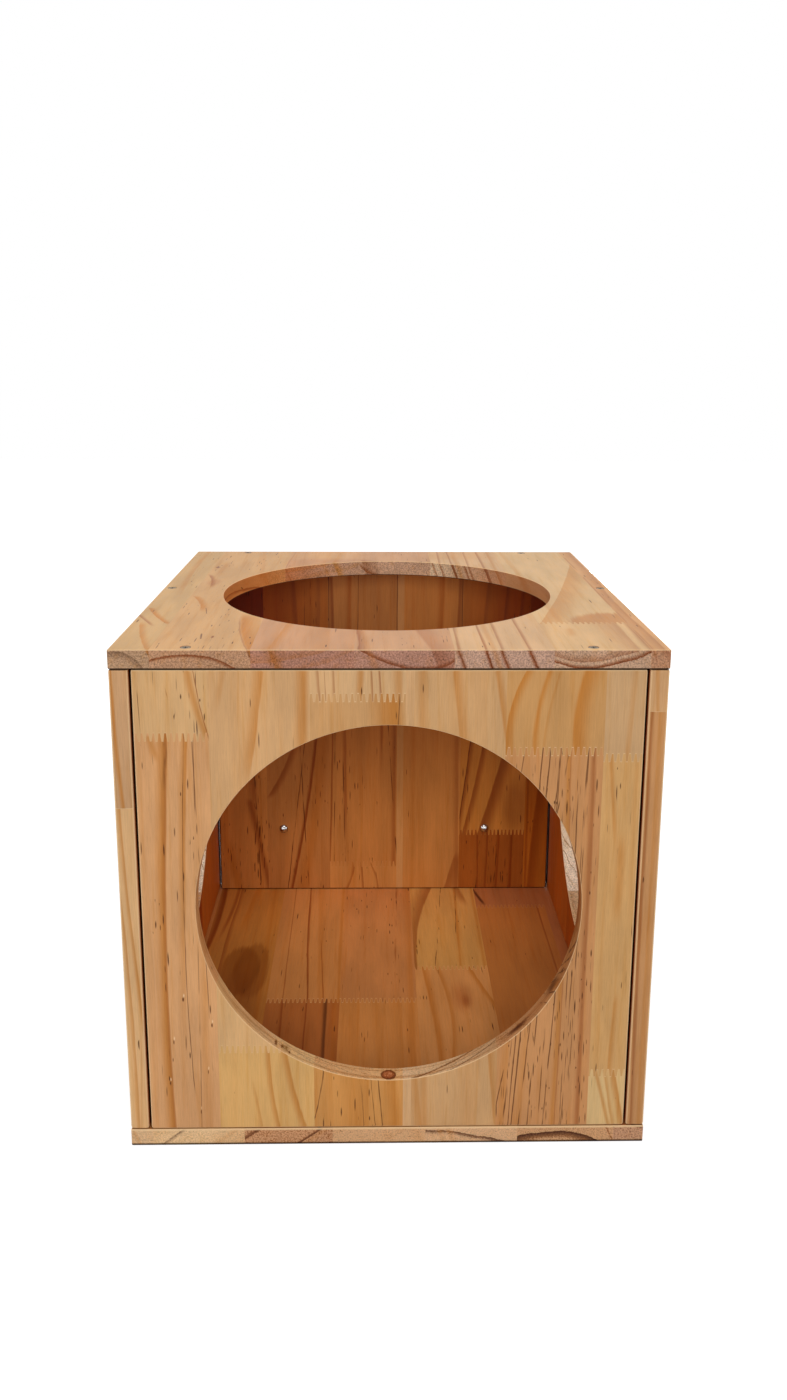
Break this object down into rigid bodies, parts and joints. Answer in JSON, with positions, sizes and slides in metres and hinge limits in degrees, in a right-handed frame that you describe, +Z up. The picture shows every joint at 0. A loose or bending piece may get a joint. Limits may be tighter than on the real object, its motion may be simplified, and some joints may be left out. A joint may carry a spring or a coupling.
{
  "type": "cat condo",
  "caption": "Cube-shaped wooden cat condo of screwed pine boards, with large round openings in the front, top and both sides and a closed back and floor.",
  "frame": {"origin": "middle of the bottom board's underside, on the floor", "axes": "+Z up, +Y from the front panel to the back panel, +X to the right seen from the front"},
  "size_m": [0.42, 0.42, 0.42],
  "materials": {
    "pine": "clear satin lacquer",
    "zinc": "zinc plated",
    "chrome": "polished"
  },
  "bodies": {
    "root": {"top_board": "pine", "bottom_board": "pine", "left_side_board": "pine", "right_side_board": "pine", "front_panel": "pine", "back_panel": "pine", "top_front_screws": "zinc", "top_side_screws": "zinc", "top_back_screws": "zinc", "bottom_front_screws": "zinc", "bottom_side_screws": "zinc", "bottom_back_screws": "zinc", "link_bolts": "chrome", "link_inserts": "zinc"}
  },
  "joints": []
}
